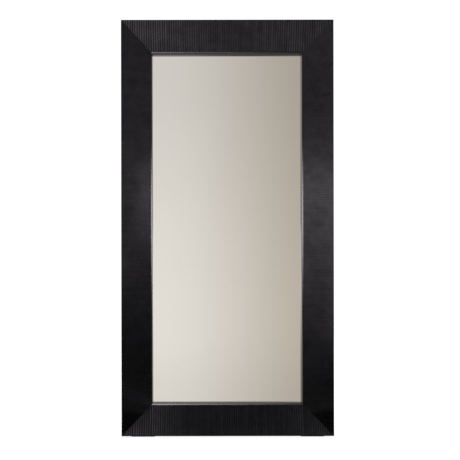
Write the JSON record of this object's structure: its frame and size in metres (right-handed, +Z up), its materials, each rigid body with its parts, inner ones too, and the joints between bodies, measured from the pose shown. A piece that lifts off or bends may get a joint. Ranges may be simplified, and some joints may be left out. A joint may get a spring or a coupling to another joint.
{
  "type": "floor mirror",
  "caption": "Tall rectangular floor mirror in a wide black reeded, mitred frame that slopes in to the glass, with floor pads, wall bumpers and swinging hanger rings.",
  "frame": {"origin": "bottom centre of the bounding box, on the floor under the middle of the upright mirror", "axes": "+Z up along the mirror's height, +X to the right as seen from the front, and the front faces -Y"},
  "size_m": [1.088, 0.1016, 2.134],
  "materials": {
    "reeded_wood": "black satin lacquer on fine-grained reeded wood",
    "slip_lacquer": "black gloss lacquer",
    "painted_timber": "black satin lacquer, thinner on the back",
    "mirror": "faintly aged silvering with a warm tone",
    "backing_board": "bare brown fibreboard",
    "foam_tape": "closed-cell foam",
    "packer_plastic": "moulded",
    "tongue_ply": "bare plywood",
    "plated_steel": "zinc plated",
    "ring_steel": "nickel plated wire",
    "screw_steel": "yellow zinc plated",
    "bumper_rubber": "moulded",
    "pad_rubber": "dense sheet rubber"
  },
  "bodies": {
    "frame": {"top_rail": "painted_timber", "top_facing": "reeded_wood", "top_slip": "slip_lacquer", "top_glass_tape": "foam_tape", "bottom_rail": "painted_timber", "bottom_facing": "reeded_wood", "bottom_slip": "slip_lacquer", "bottom_glass_tape": "foam_tape", "left_rail": "painted_timber", "left_facing": "reeded_wood", "left_slip": "slip_lacquer", "left_glass_tape": "foam_tape", "right_rail": "painted_timber", "right_facing": "reeded_wood", "right_slip": "slip_lacquer", "right_glass_tape": "foam_tape", "mirror_glass": "mirror", "setting_blocks": "packer_plastic", "edge_packers": "packer_plastic", "backing_board": "backing_board", "backing_screws": "screw_steel", "top_left_tongue": "tongue_ply", "top_right_tongue": "tongue_ply", "bottom_left_tongue": "tongue_ply", "bottom_right_tongue": "tongue_ply", "top_left_brace": "plated_steel", "top_right_brace": "plated_steel", "bottom_left_brace": "plated_steel", "bottom_right_brace": "plated_steel", "brace_screws": "screw_steel", "left_hanger_strap": "plated_steel", "left_strap_screws": "screw_steel", "right_hanger_strap": "plated_steel", "right_strap_screws": "screw_steel", "top_left_bumper": "bumper_rubber", "top_right_bumper": "bumper_rubber", "bottom_left_bumper": "bumper_rubber", "bottom_right_bumper": "bumper_rubber", "left_floor_pad": "pad_rubber", "right_floor_pad": "pad_rubber", "floor_pad_screws": "screw_steel"},
    "left_ring": {"left_hanger_ring": "ring_steel"},
    "right_ring": {"right_hanger_ring": "ring_steel"}
  },
  "joints": [
    {"name": "left_ring_swing", "type": "hinge", "parent": "frame", "child": "left_ring", "pos_m": [-0.482, 0.0465, 1.704], "axis": [1, 0, 0], "range_deg": [0, 170]},
    {"name": "right_ring_swing", "type": "hinge", "parent": "frame", "child": "right_ring", "pos_m": [0.482, 0.0465, 1.704], "axis": [1, 0, 0], "range_deg": [0, 170]}
  ]
}
